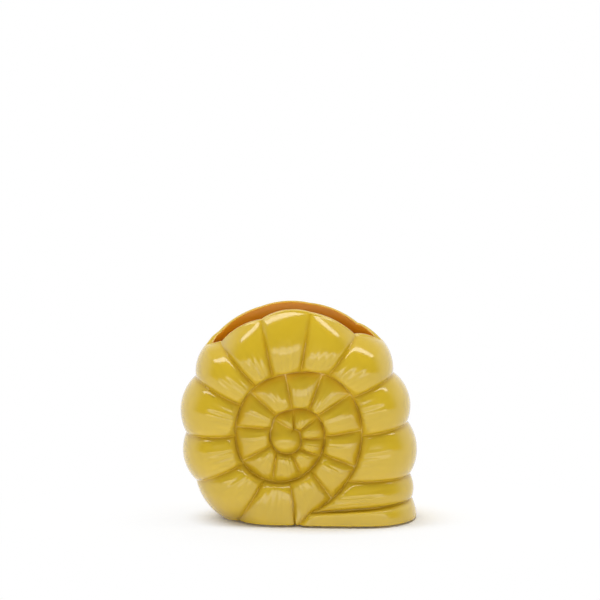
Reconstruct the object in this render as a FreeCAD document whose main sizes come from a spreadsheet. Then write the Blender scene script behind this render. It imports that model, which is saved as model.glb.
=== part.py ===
import FreeCAD, Part
import math
import os

# Toothbrush holder: a hollow, slip-cast ceramic cup in the form of a ribbed spiral shell,
# standing on four thin self-adhesive pads. The origin is on the table under the middle of the
# cup, with +X to the cup's right, +Y to its back and +Z up. Lengths are in mm, angles in degrees.
# Spiral angles run clockwise, seen from the front, from straight above the spiral's middle.

Vector = FreeCAD.Vector

doc = FreeCAD.newDocument("toothbrush_holder")
sheet = doc.addObject("Spreadsheet::Sheet", "dimensions")

DIMENSIONS = [
    ("spiral_x", -4.05, "middle of the spiral"),
    ("spiral_z", 38.0, "middle of the spiral"),
    ("spiral_radius", 11.28, "seam radius at angle zero"),
    ("spiral_growth", 1.197, "growth of the seam radius in a turn, as a power of e"),
    ("spiral_slowing", 0.306, "loss of that growth, per turn squared"),
    ("spiral_ovality", 0.05, "share by which the seam is longer one way than the other"),
    ("spiral_oval_turn", 32.0, "angle of its longer axis"),
    ("first_depth", 18.0, "crest of the first lobes, from the mid-plane"),
    ("cup_depth", 21.6, "crest of the outer lobes, from the mid-plane"),
    ("full_depth_angle", 660.0, "spiral angle from which the lobes have the full depth"),
    ("first_groove", 1.5, "depth of the grooves between the first lobes"),
    ("cup_groove", 3.2, "depth of the grooves between the outer lobes"),
    ("groove_fan", 0.35, "share by which a groove is deeper at a lobe's wide end than halfway"),
    ("arch_power", 0.7, "how square a lobe's arch is from groove to groove"),
    ("seam_depth", 15.6, "bottom of the seam between two turns, from the mid-plane"),
    ("seam_cover", 1.5, "overlap of neighbouring turns under the seam"),
    ("seam_dip", 2.6, "how far a lobe goes on down under the seam"),
    ("lip_width", 1.2, "length of the steep lip where a lobe rises from the seam"),
    ("lip_drop", 1.0, "top of that lip under the lobe's crown"),
    ("fall_drop", 1.9, "shoulder of an inner lobe under its crown"),
    ("fall_share", 0.88, "share of an inner lobe's length up to that shoulder"),
    ("inner_crown_share", 0.45, "share of an inner lobe's length from the seam to its crown"),
    ("crown_share", 0.32, "share of an outer lobe's length from the seam to its crown"),
    ("end_round", 21.0, "plan radius of the cup's right end"),
    ("edge_land", 0.6, "half width of the flat along the closed outer edge"),
    ("mouth_x", -1.95, "middle of the oval mouth"),
    ("mouth_half_length", 37.2, "outside of the rim"),
    ("mouth_half_width", 13.6, "outside of the rim"),
    ("rim_wall", 2.7, "thickness of the rim"),
    ("boss_x", -4.95, "boss in the middle of the spiral"),
    ("boss_z", 36.4, "boss in the middle of the spiral"),
    ("boss_half_width", 6.4, "boss at the seam around it"),
    ("boss_half_height", 5.2, "boss at the seam around it"),
    ("boss_crest", 18.8, "top of the boss, from the mid-plane"),
    ("boss_seam", 4.8, "least radius at which the first lobes begin"),
    ("base_level", 0.8, "underside of the cup above the table"),
    ("leveller_span", 200.0, "block that is cut away under the base"),
    ("pad_radius", 5.0, "self-adhesive pad, where it is stuck on"),
    ("pad_taper", 0.3, "how much smaller the pad's radius is on the table"),
    ("pad_left", -13.0, "pads' places"),
    ("pad_right", 36.0, "pads' places"),
    ("pad_side", 11.0, "pads' places, either side of the mid-plane"),
]

TABLES = {
    # Grooves of the inner turns: spiral angles where each meets the seams inside and outside it.
    "inner_groove": (("seam_angle", "edge_angle"), [
        (-395, -43), (-325, 9), (-291, 58), (-254, 96), (-220, 125), (-187, 164), (-141, 200),
        (-120, 241), (-68, 279), (-32, 318), (7, 356), (38, 388), (54, 416), (91, 446),
        (119.5, 476), (149, 506.5), (180, 536),
    ]),
    # Stretches where the seam lies nearer to the middle than the plain spiral does.
    "seam_dent": (("angle", "width", "depth"), [
        (5, 28, 1.2), (275, 25, 0.5), (362, 27, 2.2), (450, 40, 0.5),
    ]),
    # Grooves of the outer turn, with the radius of its outer edge in front and at the back.
    "outer_groove": (("seam_angle", "edge_angle", "front_radius", "back_radius"), [
        (536, 533, 56.0, 56.0), (569.5, 570, 46.0, 46.0), (598, 601.5, 44.8, 44.8),
        (629.5, 628.5, 43.4, 43.4), (662.6, 660, 45.4, 45.4), (686, 682.5, 47.8, 49.6),
        (704.5, 706, 49.6, 52.1), (730, 729.7, 52.0, 52.7), (752.5, 754, 49.9, 52.1),
        (778.4, 781, 49.6, 49.6), (810, 806, 49.6, 49.6), (849, 830.3, 54.1, 54.1),
    ]),
    # How far the edge of each outer lobe bulges beyond the grooves beside it.
    "outer_bulge": (("front", "back"), [
        (2.0, 2.0), (1.8, 1.8), (2.2, 2.2), (2.7, 2.7), (3.1, 2.2), (0.3, 0.3), (1.7, 0.4),
        (0.5, 0.4), (4.5, 3.4), (2.8, 2.8), (2.5, 2.5),
    ]),
    # Lower sides of the band and the foot lip that close the spiral. The lip's is under the base.
    "band_groove": (("seam_angle", "seam_distance", "edge_angle", "edge_radius"), [
        (885, 33.8, 839.4, 59.3), (896, 39.8, 847.3, 67.2),
    ]),
    # Level sections of the inside of the cup, as shares of its size at the rim.
    "cavity_ring": (("height", "middle", "share"), [
        (6.5, 6.4, 0.42), (9.5, 4.4, 0.8), (24.0, 0.4, 0.96), (42.0, -1.6, 1.04), (62.0, -2.2, 1.03),
        (72.0, -2.1, 1.0), (98.0, -2.0, 1.0),
    ]),
    # Rings of the boss, as shares of its size and of its height above the seam.
    "boss_ring": (("spread", "rise"), [
        (1.6, -1.7), (1.5, -0.2), (1.0, 0.0), (0.82, 0.55), (0.5, 0.88), (0.15, 1.0),
    ]),
}

# Where the curved forms have their sections and corners, as shares of the way along them.
INNER_LOBE_SHARES = (0, 0.3, 0.7, 1)
OUTER_LOBE_SHARES = (0, 0.2, 0.5, 0.8, 1)
ROUND_SHARES = (0.3, 0.55, 0.8, 1)
CAVITY_CORNERS = 24
BOSS_CORNERS = 12


def cell_alias(table, row, column):
    return f"{table}_{row}_{column}"


def fill_sheet():
    cells = list(DIMENSIONS)
    for table, (columns, rows) in TABLES.items():
        for row, values in enumerate(rows, start=1):
            for column, value in zip(columns, values):
                cells.append((cell_alias(table, row, column), value, f"{table} {row}, {column}"))
    for line, (alias, value, meaning) in enumerate(cells, start=1):
        sheet.set(f"A{line}", meaning)
        sheet.set(f"B{line}", str(value))
        sheet.setAlias(f"B{line}", alias)
    doc.recompute()


def size(alias):
    return float(sheet.get(alias))


def table_rows(table):
    columns, rows = TABLES[table]
    return [[size(cell_alias(table, row, column)) for column in columns] for row in range(1, len(rows) + 1)]


def blend(first, last, share):
    return [low + (high - low) * share for low, high in zip(first, last)]


def swell(share):
    return math.sin(math.pi * share) ** size("arch_power")


def seam_radius(angle):
    turns = angle / 360
    oval = 1 + size("spiral_ovality") * math.cos(2 * math.radians(angle - size("spiral_oval_turn")))
    power = size("spiral_growth") * turns - size("spiral_slowing") * turns**2
    dents = sum(depth * math.exp(-((angle - middle) / width) ** 2)
                for middle, width, depth in table_rows("seam_dent"))
    return size("spiral_radius") * math.exp(power) * oval - dents


def around_spiral(angle, radius):
    turn = math.radians(angle)
    return Vector(size("spiral_x") + radius * math.sin(turn), 0, size("spiral_z") + radius * math.cos(turn))


def crest_and_sink(angle, share):
    growth = min(max(angle / size("full_depth_angle"), 0), 1)
    crest = size("first_depth") + (size("cup_depth") - size("first_depth")) * growth**2
    groove = size("first_groove") + (size("cup_groove") - size("first_groove")) * growth
    return crest, groove * (1 - swell(share))


def mouth_half_gap(edge):
    off_middle = (edge.x - size("mouth_x")) / size("mouth_half_length")
    if edge.z < size("spiral_z") or abs(off_middle) > 1:
        return size("edge_land")
    return max(size("mouth_half_width") * math.sqrt(1 - off_middle**2), size("edge_land"))


class Section:
    """A cut through a lobe, in the plane of Y and of a mid-plane line from its seam to its edge."""

    def __init__(self, seam, edge, crest, sink):
        self.seam = seam
        self.length = (edge - seam).Length
        self.along = (edge - seam).normalize()
        self.crest = crest
        self.low = size("seam_depth") - size("seam_dip")
        self.sink = sink

    def sunk(self, distance, depth):
        fan = size("groove_fan") * (2 * distance / self.length - 1)
        return depth - self.sink * (1 + fan)

    def at(self, distance, depth, side):
        return self.seam + self.along * distance + Vector(0, -side * depth, 0)

    def polyline(self, corners, side):
        return [self.at(distance, self.sunk(distance, depth), side) for distance, depth in corners]

    def climb(self, crown, side):
        return self.polyline([
            (-size("seam_cover"), self.low),
            (size("lip_width"), self.crest - size("lip_drop")),
            (crown, self.crest),
        ], side)

    def fall(self, side):
        return self.polyline([
            (size("fall_share") * self.length, self.crest - size("fall_drop")),
            (self.length + size("seam_cover"), self.low),
        ], side)

    def round_off(self, crown, half_gap, length, side):
        depth = self.sunk(crown, self.crest)
        sweep = math.acos(half_gap / depth)
        reach = (length - crown) / math.sin(sweep)
        turns = [sweep * share for share in ROUND_SHARES]
        return [self.at(crown + reach * math.sin(turn), depth * math.cos(turn), side) for turn in turns]


def closed_wire(front, back):
    return Part.makePolygon([*front, *reversed(back), front[0]])


def inner_wire(seam_angle, edge_angle, share):
    seam = around_spiral(seam_angle, max(seam_radius(seam_angle), size("boss_seam")))
    edge = around_spiral(edge_angle, seam_radius(edge_angle))
    section = Section(seam, edge, *crest_and_sink(edge_angle, share))
    crown = size("inner_crown_share") * section.length
    return closed_wire(*[section.climb(crown, side) + section.fall(side) for side in (1, -1)])


def outer_wire(seam, edge, back_rise, crest, sink):
    section = Section(seam, edge, crest, sink)
    crown = max(size("crown_share") * section.length, section.length - size("end_round"))
    half_gap = mouth_half_gap(edge)
    return closed_wire(*[
        section.climb(crown, side) + section.round_off(crown, half_gap, section.length + rise, side)
        for side, rise in ((1, 0), (-1, back_rise))
    ])


def oval(middle, half_length, half_width, corners):
    points = []
    for corner in range(corners + 1):
        turn = 2 * math.pi * corner / corners
        points.append(middle + half_length * math.cos(turn) + half_width * math.sin(turn))
    return Part.makePolygon(points)


def add_loft(name, wires):
    loft = doc.addObject("Part::Loft", name)
    sections = []
    for number, wire in enumerate(wires, start=1):
        section = doc.addObject("Part::Feature", f"{name}_section_{number}")
        section.Shape = wire
        sections.append(section)
    loft.Sections = sections
    loft.Solid = True
    loft.Ruled = True
    return loft


def add_inner_lobes():
    grooves = table_rows("inner_groove")
    lobes = []
    for number, (before, after) in enumerate(zip(grooves, grooves[1:]), start=1):
        wires = [inner_wire(*blend(before, after, share), share) for share in INNER_LOBE_SHARES]
        lobes.append(add_loft(f"inner_lobe_{number}", wires))
    return lobes


def add_outer_lobes():
    grooves = table_rows("outer_groove")
    bulges = table_rows("outer_bulge")
    lobes = []
    for number, (before, after, bulge) in enumerate(zip(grooves, grooves[1:], bulges), start=1):
        wires = []
        for share in OUTER_LOBE_SHARES:
            seam_angle, edge_angle, *radii = blend(before, after, share)
            front, back = [radius + swell(share) * extra for radius, extra in zip(radii, bulge)]
            seam = around_spiral(seam_angle, seam_radius(seam_angle - 360))
            edge = around_spiral(edge_angle, front)
            wires.append(outer_wire(seam, edge, back - front, *crest_and_sink(seam_angle, share)))
        lobes.append(add_loft(f"outer_lobe_{number}", wires))
    return lobes


def add_bands():
    seam_angle, edge_angle, edge_radius, _ = table_rows("outer_groove")[-1]
    first_groove = (seam_angle, seam_radius(seam_angle - 360), edge_angle, edge_radius)
    grooves = [first_groove, *table_rows("band_groove")]
    bands = []
    for number, (before, after) in enumerate(zip(grooves, grooves[1:]), start=1):
        wires = []
        for share in OUTER_LOBE_SHARES:
            seam_angle, seam_distance, edge_angle, edge_radius = blend(before, after, share)
            seam = around_spiral(seam_angle, seam_distance)
            edge = around_spiral(edge_angle, edge_radius + swell(share))
            wires.append(outer_wire(seam, edge, 0, *crest_and_sink(seam_angle, share)))
        bands.append(add_loft(f"closing_band_{number}", wires))
    return bands


def add_bosses():
    bosses = []
    for name, side in (("front_boss", -1), ("back_boss", 1)):
        rings = []
        for spread, rise in table_rows("boss_ring"):
            depth = size("seam_depth") + rise * (size("boss_crest") - size("seam_depth"))
            middle = Vector(size("boss_x"), side * depth, size("boss_z"))
            half_width = Vector(spread * size("boss_half_width"), 0, 0)
            half_height = Vector(0, 0, spread * size("boss_half_height"))
            rings.append(oval(middle, half_width, half_height, BOSS_CORNERS))
        bosses.append(add_loft(name, rings))
    return bosses


def add_cavity():
    half_length = Vector(size("mouth_half_length") - size("rim_wall"), 0, 0)
    half_width = Vector(0, size("mouth_half_width") - size("rim_wall"), 0)
    rings = []
    for height, middle, share in table_rows("cavity_ring"):
        rings.append(oval(Vector(middle, 0, height), half_length * share, half_width * share, CAVITY_CORNERS))
    return add_loft("cavity", rings)


def add_shell_body():
    relief = doc.addObject("Part::MultiFuse", "relief")
    relief.Shapes = add_inner_lobes() + add_outer_lobes() + add_bands() + add_bosses()
    relief.Refine = False

    under_base = doc.addObject("Part::Box", "under_base")
    under_base.setExpression("Length", "dimensions.leveller_span")
    under_base.setExpression("Width", "dimensions.leveller_span")
    under_base.setExpression("Height", "dimensions.cup_depth")
    under_base.setExpression("Placement.Base.x", "-Length / 2")
    under_base.setExpression("Placement.Base.y", "-Width / 2")
    under_base.setExpression("Placement.Base.z", "dimensions.base_level * 1 mm - Height")

    standing = doc.addObject("Part::Cut", "standing_relief")
    standing.Base = relief
    standing.Tool = under_base

    body = doc.addObject("Part::Cut", "shell_body")
    body.Base = standing
    body.Tool = add_cavity()
    return body


def add_foot_pads():
    pads = []
    for depth_name, side in (("front", "-"), ("rear", "")):
        for hand in ("left", "right"):
            pad = doc.addObject("Part::Cone", f"foot_pad_{depth_name}_{hand}")
            pad.setExpression("Radius1", "dimensions.pad_radius - dimensions.pad_taper")
            pad.setExpression("Radius2", "dimensions.pad_radius")
            pad.setExpression("Height", "dimensions.base_level")
            pad.setExpression("Placement.Base.x", f"dimensions.pad_{hand}")
            pad.setExpression("Placement.Base.y", f"{side}dimensions.pad_side")
            pads.append(pad)
    return pads


def check_document():
    for item in doc.Objects:
        if "Invalid" in item.State or "Error" in item.State:
            raise RuntimeError(f"{item.Label} failed: {item.State}")


def write_parts(parts):
    os.makedirs("parts", exist_ok=True)
    for part in parts:
        if part.Shape.isNull() or not part.Shape.isValid() or len(part.Shape.Solids) != 1:
            raise RuntimeError(f"{part.Label} isn't one valid solid")
    for part in parts:
        part.Shape.exportStep(f"parts/{part.Label}.step")
        print(part.Label, "volume", round(part.Shape.Volume), "mm3")


fill_sheet()
sub_parts = [add_shell_body(), *add_foot_pads()]
doc.recompute()
check_document()
write_parts(sub_parts)
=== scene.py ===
import bmesh
import bpy
import math
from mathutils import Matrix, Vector, noise


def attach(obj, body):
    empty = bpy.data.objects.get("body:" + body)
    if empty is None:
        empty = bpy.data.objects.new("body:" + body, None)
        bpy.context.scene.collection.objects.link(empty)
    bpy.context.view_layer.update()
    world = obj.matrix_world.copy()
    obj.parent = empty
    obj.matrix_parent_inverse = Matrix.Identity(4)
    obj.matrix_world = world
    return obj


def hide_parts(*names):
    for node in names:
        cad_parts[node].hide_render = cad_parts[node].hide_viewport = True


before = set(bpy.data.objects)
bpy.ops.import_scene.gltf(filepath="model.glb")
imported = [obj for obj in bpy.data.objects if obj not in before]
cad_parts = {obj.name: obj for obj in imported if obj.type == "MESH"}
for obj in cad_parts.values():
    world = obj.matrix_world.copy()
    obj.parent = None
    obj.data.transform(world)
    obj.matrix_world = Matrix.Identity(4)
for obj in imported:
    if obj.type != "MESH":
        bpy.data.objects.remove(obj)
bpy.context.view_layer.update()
print("stage: frame loaded, nodes", sorted(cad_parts))

# Lengths in the shell's settings are mm, angles are degrees. Spiral angles run clockwise, seen from
# the front, from straight above the middle of the spiral, and go on growing from turn to turn.
mm = 0.001
fullTurn = 360
tiny = 1e-6


def blend(low, high, share):
    return low + (high - low) * share


def smoothStep(low, high, value):
    share = min(max((value - low) / (high - low), 0), 1)
    return share * share * (3 - 2 * share)


def quarterRound(share):
    share = min(max(share, 0), 1)
    return math.sqrt(1 - (1 - share) ** 2)


def hump(distance, width):
    return math.exp(-((distance / width) ** 2))


def crowdEnds(share, amount):
    return blend(share, 0.5 - 0.5 * math.cos(math.pi * share), amount)  # closer steps near 0 and 1


spiral = {
    "x": -4.05, "z": 38.0,              # middle of the spiral
    "radius": 11.28,                    # seam radius at angle zero
    "growth": 1.197, "slowing": 0.306,  # how it grows with the turns
    "ovality": 0.05, "ovalTurn": 32,    # the seam is a little oval
    "start": -43,                       # where the seam leaves the boss
    "dropAngles": (524, 541), "drop": 4.5,         # its end runs down under the base
    "runOutAngles": (509, 535), "runOut": 0.8,     # and loses this share of its depth
    "dents": [(5, 28, 1.2), (362, 27, 2.2), (275, 25, 0.5), (450, 40, 0.5)],  # angle, width, depth
}


def seamRadius(angle):
    turns = angle / fullTurn
    oval = 1 + spiral["ovality"] * math.cos(2 * math.radians(angle - spiral["ovalTurn"]))
    power = spiral["growth"] * turns - spiral["slowing"] * turns**2
    drop = spiral["drop"] * smoothStep(*spiral["dropAngles"], angle)
    dent = sum(depth * hump(angle - middle, width) for middle, width, depth in spiral["dents"])
    return spiral["radius"] * math.exp(power) * oval + drop - dent


def aroundSpiral(angle, radius):
    turn = math.radians(angle)
    return Vector((spiral["x"] + radius * math.sin(turn), 0, spiral["z"] + radius * math.cos(turn)))


mouth = {
    "x": -1.95, "halfLength": 37.2, "halfWidth": 13.6,
    "meetShare": 0.4,                   # front and back edges meet at its ends, and part up to this width
    "wall": 2.75, "rimRise": 0.8, "rimSteps": 6,
    "insideFrom": 0.65,                 # share of the rim's roll where the inside's colour starts
}


def mouthHalfGap(edge):
    off = (edge.x - mouth["x"]) / mouth["halfLength"]
    if edge.z < spiral["z"] or abs(off) >= 1:
        return 0
    return mouth["halfWidth"] * math.sqrt(1 - off * off)


def rimRise(halfGap):
    return mouth["rimRise"] * min(2 * halfGap / mouth["halfWidth"], 1)  # lower at the mouth's ends


lobes = {
    # angle and radius where a groove leaves the boss, angle where it meets the seam outside it
    "bossGrooves": [(39, 3.0, -43), (39, 3.0, 9), (69, 4.1, 58), (106, 4.7, 96), (145, 6.9, 125),
                    (173, 7.8, 164), (219, 8.5, 200), (240, 8.2, 241), (292, 7.9, 279)],
    # angles where a groove meets the seams inside and outside it
    "turnGrooves": [(328, 318), (367, 356), (398, 388), (414, 416), (451, 446), (479.5, 476),
                    (509, 506.5), (540, 536)],
    # angles at the seam and at the outline, outline radius in front and at the back
    "rimGrooves": [(540, 536, 56.0, 56.0), (569.5, 570, 46.0, 46.0), (598, 601.5, 44.8, 44.8),
                   (629.5, 628.5, 43.4, 43.4), (662.6, 660, 45.4, 45.4), (686, 682.5, 47.8, 50.9),
                   (704.5, 706, 49.6, 52.1), (730, 729.7, 52.0, 52.7), (752.5, 754, 49.9, 52.9),
                   (778.4, 781, 49.6, 49.6), (810, 806, 49.6, 49.6), (849, 830.3, 54.1, 54.1),
                   (885, 839.4, 59.3, 59.3), (896, 847.3, 67.2, 67.2)],
    # how far each outer lobe's edge bulges beyond its grooves, in front and at the back
    "rimBulges": [(2.0, 2.0), (1.8, 1.8), (2.2, 2.2), (2.7, 2.7), (3.1, 1.7), (0.9, 0.3), (1.4, 0.4),
                  (0.5, 0.4), (4.5, 2.9), (2.8, 2.8), (2.5, 2.5), (1.1, 1.1), (1.0, 1.0)],
    "firstDepth": 18.0, "fullDepth": 21.6, "fullDepthAngle": 660,  # crests, from the mid-plane
    "firstGroove": 2.0, "fullGroove": 3.9,  # groove depths
    "fan": 0.35,                        # grooves are deeper at the wide end
    "archPower": 0.78,                  # how square a lobe's arch is
    "notchShare": 0.25, "notchWidth": 0.8,  # this share of a groove is a narrow notch
    "notchFull": 9,                     # and narrower still on lobes under this width
    "leastWidth": 0.1,                  # of a lobe that starts in a point
    "shallow": (536, 570), "shallowHeights": (0.8, 9),  # outer angles of grooves that run out low down
    "runOn": 0.6,                       # share of the first outer lobe that runs on under the base
    "seamDrop": 4.0,                    # seam under the crests inside it
    "seamGap": 0.12, "mostGap": 0.2,    # half width of the seam's floor, at most this share of a lobe
    "seamSwap": (0.4, 0.6),             # share of an inner lobe where its foot passes to the next seam
    "seamBirth": 0.7,                   # share of its first lobe in which the seam leaves the boss
    "innerClimb": 1.7, "rimClimb": 2.0,  # widths of the rounded lobe ends
    "cornerRound": 1.8,                 # the ends are rounded more at their corners
    "innerLean": 0.9, "innerCrown": 0.36, "fallPower": 1.7,  # an inner lobe rises to its crown and falls
    "lean": 1.3,                        # rise of an outer lobe from its end to its crown
    "crownShare": 0.32, "endRound": 21,  # the crown's place, and the most that is rounded beyond it
    "slabRound": 1.1, "slabRise": 1.0,  # the last lobe is the foot's lip, a slab with a rounded edge
    "columns": 26, "rimColumns": 38, "rows": 44, "climbRows": 16,
    "columnCrowding": 0.55, "rowCrowding": 0.6, "climbCrowding": 1.5,
}


def arch(share):
    return max(math.sin(math.pi * share), 0) ** lobes["archPower"]


def growthAt(angle):
    return min(max(angle / lobes["fullDepthAngle"], 0), 1)


def crestDepth(angle):
    return blend(lobes["firstDepth"], lobes["fullDepth"], growthAt(angle) ** 2)


def seamDepth(angle):
    runOut = spiral["runOut"] * smoothStep(*spiral["runOutAngles"], angle)
    return crestDepth(angle) - lobes["seamDrop"] * (1 - runOut)


def grooveDepth(angle):
    return blend(lobes["firstGroove"], lobes["fullGroove"], growthAt(angle))


flutes = {
    "count": 6, "depth": 0.19,
    "wander": 0.35, "wanderScale": (4, 7.3, 1.5),   # noise over a lobe's width, number and length
    "strength": 0.6, "unevenness": 0.8, "unevenScale": (9, 3.1), "unevenLayer": 5.5,
    "turnFade": (0.5, 0.85), "rimStart": (0, 0.06), "rimFade": (0.35, 0.7),  # shares of a lobe's length
}


def flute(lobe, across, along):
    if lobe.slab:
        return 0
    wide, number, long = flutes["wanderScale"]
    wander = noise.noise(Vector((across * wide, lobe.number * number, along * long)))
    ripple = math.cos(2 * math.pi * (flutes["count"] * across + flutes["wander"] * wander))
    wide, number = flutes["unevenScale"]
    uneven = noise.noise(Vector((across * wide, lobe.number * number, flutes["unevenLayer"])))
    strength = flutes["strength"] + flutes["unevenness"] * uneven
    return flutes["depth"] * ripple * strength * math.sin(math.pi * across)


# glaze pooled in grooves and the seam, painted shade in the seam bands, and a painted highlight along the
# slab's edge
poolingAndPaintedLight = {
    "groove": 0.8, "seam": 1.0,         # widths of the amber lines
    "fallingEnd": 0.6,                  # the seam's line is wider on the falling end of a lobe
    "grooveFade": (0.72, 0.95), "grooveAway": 1.2,  # there the groove's line fades
    "bands": [(362, 40, 2.6), (5, 34, 2.0)], "shadeBandWidth": 2.2,  # angle, length, strength of painted shade, darker amber in the seam where the outer lobes overhang it
    "slabEdge": 0.6, "slabHighlight": 2,     # width and strength of a painted highlight along the slab's edge, in the lighter thin-glaze colour
}


# painted shade: darker amber in the seam where the outer lobes overhang it
def shadeBandStrength(angle):
    return sum(most * hump(angle - middle, long) for middle, long, most in poolingAndPaintedLight["bands"])


class Lobe:
    # one lobe between two grooves; point() gives the place of its grid's (across, along)

    def __init__(self, number, before, after, bulge=None, slab=False):
        self.number = number
        self.before = before
        self.after = after
        self.bulge = bulge  # only the outer lobes have one
        self.slab = slab

    def innerEnd(self, across):
        angle = blend(self.before["inner"], self.after["inner"], across)
        first, last = self.before.get("innerRadius"), self.after.get("innerRadius")
        if first and last:
            return angle, blend(first, last, across)
        radius = seamRadius(angle - fullTurn)
        if first:  # the seam starts within this lobe
            return angle, blend(first, radius, smoothStep(0, lobes["seamBirth"], across))
        return angle, radius

    def outerEnd(self, across, side):
        angle = blend(self.before["outer"], self.after["outer"], across)
        if self.bulge is None:
            return angle, seamRadius(angle), 0
        radii = [blend(self.before[name], self.after[name], across) + arch(across) * self.bulge[name]
                 for name in ("front", "back")]
        middle = sum(radii) / 2
        halfGap = mouthHalfGap(aroundSpiral(angle, middle))
        apart = smoothStep(0, mouth["meetShare"], halfGap / mouth["halfWidth"])
        return angle, blend(middle, radii[0 if side < 0 else 1], apart), halfGap

    def point(self, across, along, side):
        innerAngle, innerRadius = self.innerEnd(across)
        outerAngle, outerRadius, halfGap = self.outerEnd(across, side)
        start = aroundSpiral(innerAngle, innerRadius)
        end = aroundSpiral(outerAngle, outerRadius)
        length = max((end - start).length, tiny)
        heading = (end - start) / length
        radii = innerRadius, outerRadius
        if self.bulge is None:
            profile = self.turnProfile(across, along, start, end, innerAngle, outerAngle, radii)
        else:
            profile = self.rimProfile(across, along, start, end, innerAngle, halfGap, radii)
        distance, depth = profile
        place = start + heading * distance + Vector((0, side * depth, 0))
        return place, self.pooledGlazeAndPaintedLight(across, distance, length, outerAngle, radii)

    # pooled glaze amber in grooves and the seam, plus painted shade in the seam bands, minus a painted
    # highlight along the slab's edge
    def pooledGlazeAndPaintedLight(self, across, distance, length, outerAngle, radii):
        width = self.width(distance / length, *radii)
        toGroove = min(across, 1 - across) * width
        toSeam = distance
        band = 0
        thin = 0
        if self.bulge is None:
            toGroove += poolingAndPaintedLight["grooveAway"] * smoothStep(*poolingAndPaintedLight["grooveFade"], distance / length)
            toSeam = min(distance, poolingAndPaintedLight["fallingEnd"] * (length - distance))
            # painted shade at the seam end of an inner lobe, under the overhanging outer lobes
            band = shadeBandStrength(outerAngle) * hump(length - distance, poolingAndPaintedLight["shadeBandWidth"])
        if self.slab:
            # painted highlight along the slab's rounded top edge, given as a negative pool value
            thin = poolingAndPaintedLight["slabHighlight"] * hump(across * width - lobes["slabRound"], poolingAndPaintedLight["slabEdge"])
        return max(hump(toGroove, poolingAndPaintedLight["groove"]), hump(toSeam, poolingAndPaintedLight["seam"]), band) - thin

    def width(self, share, innerRadius, outerRadius):
        inner = innerRadius * math.radians(self.after["inner"] - self.before["inner"])
        outer = outerRadius * math.radians(self.after["outer"] - self.before["outer"])
        return max(blend(inner, outer, share), lobes["leastWidth"])

    def top(self, across, share, width, angle, height):
        fan = 1 + lobes["fan"] * (2 * share - 1)
        near = self.before if across < 0.5 else self.after
        if near["outer"] in lobes["shallow"]:
            fan *= smoothStep(*lobes["shallowHeights"], height)
        if self.slab:
            sink = 1 - quarterRound(across * width / lobes["slabRound"])
            return crestDepth(angle) + lobes["slabRise"] * (1 - sink) - grooveDepth(angle) * fan * sink
        narrow = lobes["notchWidth"] * min(1, width / lobes["notchFull"])
        notch = hump(min(across, 1 - across) * width, narrow)
        sink = blend(1 - arch(across), notch, lobes["notchShare"])
        return crestDepth(angle) - grooveDepth(angle) * fan * sink

    def turnProfile(self, across, along, start, end, innerAngle, outerAngle, radii):
        length = (end - start).length
        share = crowdEnds(along, lobes["rowCrowding"])
        gap = min(lobes["seamGap"], lobes["mostGap"] * length)
        distance = blend(gap, length - gap, share)
        ends = min(1, length / (2 * lobes["innerClimb"]))
        corner = 1 + lobes["cornerRound"] * (1 - arch(across))
        climb = quarterRound((distance - gap) / (lobes["innerClimb"] * corner * ends + tiny))
        height = blend(start.z, end.z, share)
        top = self.top(across, share, self.width(share, *radii), outerAngle, height)
        top -= lobes["innerLean"] * max(1 - share / lobes["innerCrown"], 0) ** 2
        top += flute(self, across, along) * (1 - smoothStep(*flutes["turnFade"], along))
        past = max(share - lobes["innerCrown"], 0) / (1 - lobes["innerCrown"])
        fall = (1 - past ** lobes["fallPower"]) ** (1 / lobes["fallPower"])
        lowInside = seamDepth(max(innerAngle - fullTurn, spiral["start"]))
        low = blend(lowInside, seamDepth(outerAngle), smoothStep(*lobes["seamSwap"], share))
        return distance, low + (top - low) * min(climb, fall) * ends

    def rimProfile(self, across, along, start, end, innerAngle, halfGap, radii):
        length = (end - start).length
        crown = max(lobes["crownShare"] * length, length - lobes["endRound"])
        share = crown / length
        height = blend(start.z, end.z, share)
        crownDepth = self.top(across, share, self.width(share, *radii), innerAngle, height)
        climbShare = lobes["climbRows"] / lobes["rows"]
        if along < climbShare:  # from the seam up to the crown
            distance = blend(lobes["seamGap"], crown, (along / climbShare) ** lobes["climbCrowding"])
            low = seamDepth(innerAngle - fullTurn)
            top = crownDepth - lobes["lean"] * (1 - distance / crown) ** 2
            corner = 1 + lobes["cornerRound"] * (1 - arch(across))
            climb = quarterRound((distance - lobes["seamGap"]) / (lobes["rimClimb"] * corner))
            depth = low + (top - low) * climb
        else:  # round to the outline, or to the edge of the mouth
            length -= rimRise(halfGap)
            sweep = math.acos(min(halfGap / crownDepth, 1))
            turn = sweep * (along - climbShare) / (1 - climbShare)
            distance = crown + (length - crown) * math.sin(turn) / math.sin(sweep)
            runOn = 0
            if self.before["outer"] == lobes["shallow"][0]:
                runOn = 1 - smoothStep(0, lobes["runOn"], across)
            depth = crownDepth * blend(math.cos(turn), 1, runOn)
        fade = 1 - smoothStep(*flutes["rimFade"], distance / length)
        depth += flute(self, across, along) * fade * smoothStep(*flutes["rimStart"], along)
        return distance, depth


def makeLobes():
    grooves = [dict(inner=inner, innerRadius=radius, outer=outer)
               for inner, radius, outer in lobes["bossGrooves"]]
    grooves += [dict(inner=inner, outer=outer) for inner, outer in lobes["turnGrooves"]]
    made = [Lobe(number, *pair) for number, pair in enumerate(zip(grooves, grooves[1:]))]
    rim = [dict(inner=inner, outer=outer, front=front, back=back)
           for inner, outer, front, back in lobes["rimGrooves"]]
    for before, after, (front, back) in zip(rim, rim[1:], lobes["rimBulges"]):
        made.append(Lobe(len(made), before, after, dict(front=front, back=back), after is rim[-1]))
    return made


welding = {
    "relief": 2e-4, "shell": 1e-4,      # points nearer than this are merged
    "slack": 1e-4, "sliver": 1e-5,
}


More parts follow.
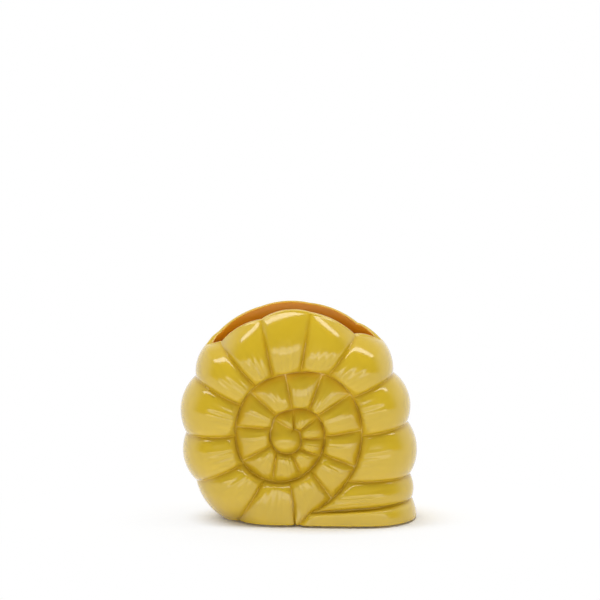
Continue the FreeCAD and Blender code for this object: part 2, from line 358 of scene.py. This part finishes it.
def zipChains(bm, first, second):
    # closes the seam's floor between two rows of (angle, vertex), both in order of their angles
    here, there = 0, 0
    while here < len(first) - 1 or there < len(second) - 1:
        nextHere = first[here + 1][0] if here < len(first) - 1 else math.inf
        nextThere = second[there + 1][0] if there < len(second) - 1 else math.inf
        corners = [first[here][1], second[there][1]]
        if nextHere <= nextThere:
            here += 1
            corners.append(first[here][1])
        else:
            there += 1
            corners.append(second[there][1])
        if len(set(corners)) == 3:
            bm.faces.new(corners)


def addRelief(bm, allLobes, side, poolAndPaintedLight):
    innerChain, outerChain = [], []
    lastTurnLobe = max(lobe.number for lobe in allLobes if lobe.bulge is None)
    for lobe in allLobes:
        columns = lobes["columns"] if lobe.bulge is None else lobes["rimColumns"]
        grid = bmesh.ops.create_grid(bm, x_segments=columns, y_segments=lobes["rows"], size=0.5)
        inner, outer = [], []
        for vert in grid["verts"]:
            across, along = vert.co.x + 0.5, vert.co.y + 0.5
            spread = crowdEnds(across, lobes["columnCrowding"])
            maker = lobe
            if lobe.number == lastTurnLobe and across > 1 - welding["slack"]:
                maker, spread = allLobes[lastTurnLobe + 1], 0.0  # it shares the outer turn's first groove
            vert.co, vert[poolAndPaintedLight] = maker.point(spread, along, side)
            if along < welding["slack"]:
                inner.append((maker.innerEnd(spread)[0], vert))
            if along > 1 - welding["slack"] and maker.bulge is None:  # the seam side
                outer.append((maker.outerEnd(spread, side)[0] + fullTurn, vert))
        innerChain += sorted(inner, key=lambda item: item[0])
        outerChain += sorted(outer, key=lambda item: item[0])
    seamStart = spiral["start"] + fullTurn
    zipChains(bm, [item for item in innerChain if item[0] >= seamStart], outerChain)


def growRing(bm, edges, follow):
    # draws a new ring out of a loop of edges; each new point keeps the place that its source follows
    loop = {vert for edge in edges for vert in edge.verts}
    grown = bmesh.ops.extrude_edge_only(bm, edges=edges)["geom"]
    sources = {}
    for vert in grown:
        if isinstance(vert, bmesh.types.BMVert):
            others = (edge.other_vert(vert) for edge in vert.link_edges)
            sources[vert] = follow[next(other for other in others if other in loop)]
    return [item for item in grown if isinstance(item, bmesh.types.BMEdge)], sources


boss = {
    "x": -5.9, "z": 35.6, "halfWidth": 5.6, "halfHeight": 4.5, "crest": 19.0,
    "rings": 12, "risePower": 0.75,
    "ovalShare": 0.4, "footShare": 0.3,  # shares of the rings in which its foot becomes an even oval
    "glaze": 0.6, "glazeFade": 2,       # amber at its foot
    "reach": 13,                        # its foot's edges are this near to the middle of the spiral
    "smoothing": 14, "smoothFactor": 0.5,
}


def atBossFoot(vert, side):
    away = math.hypot(vert.co.x - spiral["x"], vert.co.z - spiral["z"])
    return away < boss["reach"] and vert.co.y * side > 0


def onBossOval(place, middle):
    across = (place.x - middle.x) / boss["halfWidth"]
    up = (place.z - middle.z) / boss["halfHeight"]
    turn = math.atan2(up, across)
    return middle + Vector((boss["halfWidth"] * math.cos(turn), 0, boss["halfHeight"] * math.sin(turn)))


def addBoss(bm, side, poolAndPaintedLight):
    # a dome of rings, drawn in from the ends of the lobes around it
    edges = [edge for edge in bm.edges
             if edge.is_boundary and all(atBossFoot(vert, side) for vert in edge.verts)]
    middle = Vector((boss["x"], side * boss["crest"], boss["z"]))
    follow = {vert: vert.co.copy() for edge in edges for vert in edge.verts}
    made = []
    print("stage: boss,", len(edges), "edges")
    for ring in range(1, boss["rings"] + 1):
        share = ring / boss["rings"]
        spread = math.cos(math.pi / 2 * share)
        rise = math.sin(math.pi / 2 * share) ** boss["risePower"]
        edges, follow = growRing(bm, edges, follow)
        for vert, source in follow.items():
            outline = source.lerp(onBossOval(source, middle), smoothStep(0, boss["ovalShare"], share))
            flat = middle.lerp(outline, spread)
            foot = blend(source.y, side * seamDepth(0), smoothStep(0, boss["footShare"], share))
            vert.co = Vector((flat.x, blend(foot, middle.y, rise), flat.z))
            vert[poolAndPaintedLight] = max(0, boss["glaze"] - boss["glazeFade"] * share)
        made += follow
    bmesh.ops.pointmerge(bm, verts=list(follow), merge_co=middle)
    made = [vert for vert in made if vert.is_valid]
    for turn in range(boss["smoothing"]):
        bmesh.ops.smooth_vert(bm, verts=made, factor=boss["smoothFactor"],
                              use_axis_x=True, use_axis_y=True, use_axis_z=True)


base = {
    "cut": 1.2,                             # height where the relief is cut off
    "round": ((0.12, 0.25), (0.3, 0.15)),   # inset and fall of the steps that round its edge
}


def cutBase(bm):
    everything = bm.verts[:] + bm.edges[:] + bm.faces[:]
    bmesh.ops.bisect_plane(bm, geom=everything, plane_co=(0, 0, base["cut"]), plane_no=(0, 0, -1),
                           clear_outer=True)
    rim = [edge for edge in bm.edges if edge.is_boundary
           and all(abs(vert.co.z - base["cut"]) < welding["slack"] for vert in edge.verts)]
    under = bmesh.ops.contextual_create(bm, geom=rim)["faces"]
    print("stage: base cut,", len(rim), "edges,", len(under), "face")
    bmesh.ops.recalc_face_normals(bm, faces=bm.faces[:])
    for inset, fall in base["round"]:
        bmesh.ops.inset_region(bm, faces=under, thickness=inset, depth=0, use_even_offset=False)
        corners = {vert for face in under for vert in face.verts}
        bmesh.ops.translate(bm, vec=(0, 0, -fall), verts=list(corners))
    bmesh.ops.triangulate(bm, faces=under)


hollow = {
    # height, middle, share of the rim's inner size
    "rings": [(68, -2.2, 1.05), (56, -2.2, 1.06), (42, -1.6, 1.08), (30, 0.0, 1.06), (20, 1.2, 1.0),
              (12, 3.6, 0.88), (8.5, 5.0, 0.74), (6.8, 6.0, 0.5), (6.5, 6.4, 0.2)],
    "wallSteps": 5,                     # from the rim down to the first ring
}


def aroundMouth(place):
    return math.atan2(place.y / mouth["halfWidth"], (place.x - mouth["x"]) / mouth["halfLength"])


def intoMouth(place):
    turn = aroundMouth(place)
    outward = Vector((math.cos(turn) / mouth["halfLength"], math.sin(turn) / mouth["halfWidth"], 0))
    return -outward.normalized()


def onHollowRing(place, ring):
    height, middle, share = ring
    turn = aroundMouth(place)
    halfLength = (mouth["halfLength"] - mouth["wall"]) * share
    halfWidth = (mouth["halfWidth"] - mouth["wall"]) * share
    return Vector((middle + halfLength * math.cos(turn), halfWidth * math.sin(turn), height))


def addHollow(bm, poolAndPaintedLight, inside):
    # the rim is rolled inwards from the outer edge of the mouth, and the wall drawn down from it
    edges = [edge for edge in bm.edges if edge.is_boundary]
    follow = {vert: vert.co.copy() for edge in edges for vert in edge.verts}
    print("stage: mouth,", len(edges), "edges")
    for step in range(1, mouth["rimSteps"] + 1):
        share = step / mouth["rimSteps"]
        into = mouth["wall"] / 2 * (1 - math.cos(math.pi * share))
        edges, follow = growRing(bm, edges, follow)
        for vert, source in follow.items():
            rise = rimRise(abs(source.y)) * math.sin(math.pi * share)
            vert.co = source + intoMouth(source) * into + Vector((0, 0, rise))
            vert[poolAndPaintedLight] = 0
            vert[inside] = smoothStep(mouth["insideFrom"], 1, share)
    follow = {vert: vert.co.copy() for vert in follow}
    steps = [(hollow["rings"][0], step / hollow["wallSteps"]) for step in range(1, hollow["wallSteps"] + 1)]
    steps += [(ring, 1) for ring in hollow["rings"][1:]]
    for ring, share in steps:
        edges, follow = growRing(bm, edges, follow)
        for vert, source in follow.items():
            vert.co = source.lerp(onHollowRing(source, ring), share)
            vert[poolAndPaintedLight] = 0
            vert[inside] = 1
    last = list(follow)
    bmesh.ops.pointmerge(bm, verts=last, merge_co=sum((vert.co for vert in last), Vector()) / len(last))


def makeShell():
    bm = bmesh.new()
    # glaze pooling, with painted shade in the seam bands and a painted highlight (negative values) along
    # the slab's edge
    poolAndPaintedLight = bm.verts.layers.float.new("poolAndPaintedLight")
    inside = bm.verts.layers.float.new("inside")
    allLobes = makeLobes()
    for side in (-1, 1):
        addRelief(bm, allLobes, side, poolAndPaintedLight)
    bmesh.ops.remove_doubles(bm, verts=bm.verts[:], dist=welding["relief"])
    print("stage: relief,", len(bm.verts), "points")
    for side in (-1, 1):
        addBoss(bm, side, poolAndPaintedLight)
    cutBase(bm)
    addHollow(bm, poolAndPaintedLight, inside)
    bmesh.ops.remove_doubles(bm, verts=bm.verts[:], dist=welding["shell"])
    bmesh.ops.dissolve_degenerate(bm, dist=welding["sliver"], edges=bm.edges[:])
    bmesh.ops.recalc_face_normals(bm, faces=bm.faces[:])
    bmesh.ops.scale(bm, vec=(mm, mm, mm), verts=bm.verts[:])
    openEdges = sum(1 for edge in bm.edges if not edge.is_manifold)
    print("stage: shell,", len(bm.faces), "faces, open edges", openEdges)
    for face in bm.faces:
        face.smooth = True
    mesh = bpy.data.meshes.new("shell")
    bm.to_mesh(mesh)
    bm.free()
    shell = bpy.data.objects.new("shell", mesh)
    bpy.context.scene.collection.objects.link(shell)
    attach(shell, "root")
    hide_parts("shell_body")
    return shell


class Wire:
    # a shader socket that takes part in plain arithmetic

    def __init__(self, socket):
        self.socket = socket

    def math(self, operation, first, second):
        tree = self.socket.id_data
        node = tree.nodes.new("ShaderNodeMath")
        node.operation = operation
        plug(tree, node.inputs[0], first)
        plug(tree, node.inputs[1], second)
        return Wire(node.outputs[0])

    def __add__(self, other):
        return self.math("ADD", self, other)

    def __radd__(self, other):
        return self.math("ADD", other, self)

    def __sub__(self, other):
        return self.math("SUBTRACT", self, other)

    def __rsub__(self, other):
        return self.math("SUBTRACT", other, self)

    def __mul__(self, other):
        return self.math("MULTIPLY", self, other)

    def __rmul__(self, other):
        return self.math("MULTIPLY", other, self)


def plug(tree, slot, value):
    if isinstance(value, Wire):
        tree.links.new(value.socket, slot)
    else:
        slot.default_value = value


class Finish:
    # a node tree that is filled by one method

    def __init__(self, tree):
        self.tree = tree
        tree.nodes.clear()

    def node(self, kind, settings=None, sockets=None, output=0):
        made = self.tree.nodes.new("ShaderNode" + kind)
        for name, value in (settings or {}).items():
            setattr(made, name, value)
        for name, value in (sockets or {}).items():
            plug(self.tree, made.inputs[name], value)
        return Wire(made.outputs[output]) if made.outputs else None

    def mix(self, share, first, second):
        return self.node("Mix", {"data_type": "RGBA"}, {0: share, 6: first, 7: second}, 2)

    def clouds(self, place, scale, detail):
        return self.node("TexNoise", {}, {"Vector": place, "Scale": scale, "Detail": detail})

    def fade(self, value, limits, results=(0.0, 1.0)):
        return self.node("MapRange", {"interpolation_type": "SMOOTHSTEP"}, {
            "Value": value, "From Min": limits[0], "From Max": limits[1],
            "To Min": results[0], "To Max": results[1]})


def newFinish(name):
    material = bpy.data.materials.new(name)
    material.use_nodes = True
    return material, Finish(material.node_tree)


glaze = {
    "colour": (0.62, 0.415, 0.018, 1),
    # the pooled amber is glaze pooled in grooves, and also painted shade in the seam bands
    "pooledAndShade": (0.46, 0.215, 0.004, 1), "pooledAndShadeShare": 0.22, "streaks": 0.25,
    # the thin colour is lighter glaze where it runs thin, and also paints a highlight along the slab's edge
    "thin": (0.68, 0.475, 0.04, 1), "thinShare": 0.6, "thinAtPools": 0.4,
    "inside": (0.76, 0.29, 0.004, 1),
    "cloud": (60.0, 4.0), "grain": (900.0, 2.0), "streak": (260.0, 3.0),  # noise scale and detail
    "roughness": 0.10, "grainRoughness": 0.08, "insideRoughness": 0.25,
    "coat": 0.35, "insideCoatLoss": 0.3, "coatRoughness": 0.04, "ior": 1.52,
    "bump": 0.06, "bumpHeight": 0.0004, "bumpGrain": 0.1,
}


def ochreGlaze():
    material, finish = newFinish("ochre_glaze")
    place = finish.node("TexCoord", output="Object")
    poolAndPaintedLight = finish.node("Attribute", {"attribute_name": "poolAndPaintedLight"}, output="Fac")
    inside = finish.node("Attribute", {"attribute_name": "inside"}, output="Fac")
    cloud = finish.clouds(place, *glaze["cloud"])
    grain = finish.clouds(place, *glaze["grain"])
    streak = finish.clouds(place, *glaze["streak"])
    # share of the lighter thin glaze: random over the surface, less where glaze pools, and a painted
    # highlight where the pool value is negative
    thin = finish.node("Clamp", {}, {"Value": cloud * glaze["thinShare"] - poolAndPaintedLight * glaze["thinAtPools"]})
    body = finish.mix(thin, glaze["colour"], glaze["thin"])
    # share of pooled amber, which also paints shade in the seam bands
    streaked = poolAndPaintedLight * glaze["pooledAndShadeShare"] + (streak - 0.5) * glaze["streaks"] * poolAndPaintedLight
    pooledAndShade = finish.node("Clamp", {}, {"Value": streaked})
    colour = finish.mix(inside, finish.mix(pooledAndShade, body, glaze["pooledAndShade"]), glaze["inside"])
    rough = glaze["roughness"] + grain * glaze["grainRoughness"] + inside * glaze["insideRoughness"]
    bump = finish.node("Bump", {}, {
        "Strength": glaze["bump"], "Distance": glaze["bumpHeight"],
        "Height": cloud + grain * glaze["bumpGrain"]})
    shader = finish.node("BsdfPrincipled", {}, {
        "Base Color": colour, "Roughness": rough, "IOR": glaze["ior"], "Normal": bump,
        "Coat Weight": glaze["coat"] - inside * glaze["insideCoatLoss"],
        "Coat Roughness": glaze["coatRoughness"]})
    finish.node("OutputMaterial", {}, {"Surface": shader})
    return material


pads = {
    "dark": (0.42, 0.41, 0.38, 1), "light": (0.60, 0.58, 0.54, 1),
    "grain": (1500.0, 3.0),             # noise scale and detail
    "roughness": 0.55, "grainRoughness": 0.2,
    "bump": 0.3, "bumpHeight": 0.0002,
}


def padRubber():
    material, finish = newFinish("foot_pad")
    place = finish.node("TexCoord", output="Object")
    grain = finish.clouds(place, *pads["grain"])
    colour = finish.mix(grain, pads["dark"], pads["light"])
    bump = finish.node("Bump", {}, {
        "Strength": pads["bump"], "Distance": pads["bumpHeight"], "Height": grain})
    shader = finish.node("BsdfPrincipled", {}, {
        "Base Color": colour, "Roughness": pads["roughness"] + grain * pads["grainRoughness"],
        "Normal": bump})
    finish.node("OutputMaterial", {}, {"Surface": shader})
    return material


def dressPads():
    rubber = padRubber()
    for name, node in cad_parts.items():
        if name.startswith("foot_pad"):
            node.data.materials.clear()
            node.data.materials.append(rubber)
            print("stage: pad dressed,", name)


white = (1, 1, 1, 1)

ground = {
    "size": 6.0, "colour": (0.93, 0.93, 0.925, 1),
    "footMiddle": (0.012, 0, 0), "footprint": (26, 46, 0),  # scales the foot's outline to a unit circle
    "near": (1.02, 1.65), "far": (1.5, 4.0),  # foot outlines between which the floor turns white
    "nearShare": 0.85,                  # how much of that the near ones do
}


def makeFloor():
    bm = bmesh.new()
    bmesh.ops.create_grid(bm, x_segments=2, y_segments=2, size=ground["size"])
    mesh = bpy.data.meshes.new("floor")
    bm.to_mesh(mesh)
    bm.free()
    floor = bpy.data.objects.new("floor", mesh)
    bpy.context.scene.collection.objects.link(floor)
    material, finish = newFinish("floor")
    shaded = finish.node("BsdfDiffuse", {}, {"Color": ground["colour"]})
    plain = finish.node("Emission", {}, {"Color": white, "Strength": 1.0})
    place = finish.node("TexCoord", output="Object")
    shifted = finish.node("VectorMath", {"operation": "SUBTRACT"}, {0: place, 1: ground["footMiddle"]})
    scaled = finish.node("VectorMath", {"operation": "MULTIPLY"}, {0: shifted, 1: ground["footprint"]})
    outlines = finish.node("VectorMath", {"operation": "LENGTH"}, {0: scaled}, "Value")
    near = finish.fade(outlines, ground["near"])
    far = finish.fade(outlines, ground["far"])
    away = near * ground["nearShare"] + far * (1 - ground["nearShare"])
    seen = finish.node("LightPath", output="Is Camera Ray")
    mirrored = finish.node("LightPath", output="Is Glossy Ray")
    both = finish.node("MixShader", {}, {0: away * seen + near * mirrored, 1: shaded, 2: plain})
    finish.node("OutputMaterial", {}, {"Surface": both})
    floor.data.materials.append(material)
    print("stage: floor")


studio = {
    "side": 1.0, "front": 0.06, "frontFade": (-0.3, 0.35),  # the sky is dark in front
    "top": 0.4, "topFade": (0.3, 0.9),                      # and dimmer overhead
    "lamps": {
        # place, target, size, watts, whether the glaze mirrors it
        "overhead": ((0.1, 0.35, 1.15), (0, 0, 0), (1.4, 1.0), 6.2, False),
        "strip": ((0, -0.08, 0.9), (0, 0, 0.05), (1.8, 0.2), 5.5, True),
        "fill": ((-0.15, -1.15, 0.3), (0, 0, 0.04), (0.9, 0.5), 3.3, False),
        "bounce": ((0, -0.9, 0.02), (0, -0.4, 0.9), (2.4, 1.2), 19.0, True),
    },
}


def addSoftbox(name, place, target, size, watts, mirrored):
    data = bpy.data.lights.new(name, "AREA")
    data.shape = "RECTANGLE"
    data.size, data.size_y = size
    data.energy = watts
    lamp = bpy.data.objects.new(name, data)
    lamp.location = place
    lamp.visible_glossy = mirrored
    lamp.rotation_euler = (Vector(target) - Vector(place)).to_track_quat("-Z", "Y").to_euler()
    bpy.context.scene.collection.objects.link(lamp)


def makeStudio():
    scene = bpy.context.scene
    scene.view_settings.view_transform = "Standard"
    world = bpy.data.worlds.new("studio")
    scene.world = world
    world.use_nodes = True
    sky = Finish(world.node_tree)
    heading = sky.node("TexCoord", output="Generated")
    front = sky.node("SeparateXYZ", {}, {"Vector": heading}, "Y") * -1.0
    up = sky.node("SeparateXYZ", {}, {"Vector": heading}, "Z")
    darkFront = sky.fade(front, studio["frontFade"], (studio["side"], studio["front"]))
    dimTop = sky.fade(up, studio["topFade"], (1.0, studio["top"]))
    lit = sky.node("Background", {}, {"Color": white, "Strength": darkFront * dimTop})
    plain = sky.node("Background", {}, {"Color": white, "Strength": 1.0})
    seen = sky.node("LightPath", output="Is Camera Ray")
    both = sky.node("MixShader", {}, {0: seen, 1: lit, 2: plain})
    sky.node("OutputWorld", {}, {"Surface": both})
    for name, lamp in studio["lamps"].items():
        addSoftbox(name, *lamp)
    print("stage: studio,", len(studio["lamps"]), "lamps")


view = {
    "x": 0.00035, "distance": 0.97323, "height": 0.22011, "pitch": 7.46,
    "focalPixels": 2343.58, "pixels": 600, "sensor": 36,
}


def makeCamera():
    data = bpy.data.cameras.new("camera")
    data.sensor_width = view["sensor"]
    data.lens = view["sensor"] * view["focalPixels"] / view["pixels"]
    camera = bpy.data.objects.new("camera", data)
    camera.location = (view["x"], -view["distance"], view["height"])
    camera.rotation_euler = (math.radians(90 - view["pitch"]), 0, 0)
    bpy.context.scene.collection.objects.link(camera)
    bpy.context.scene.camera = camera


makeCamera()
shell = makeShell()
shell.data.materials.append(ochreGlaze())
dressPads()
makeFloor()
makeStudio()

print("stage: done")
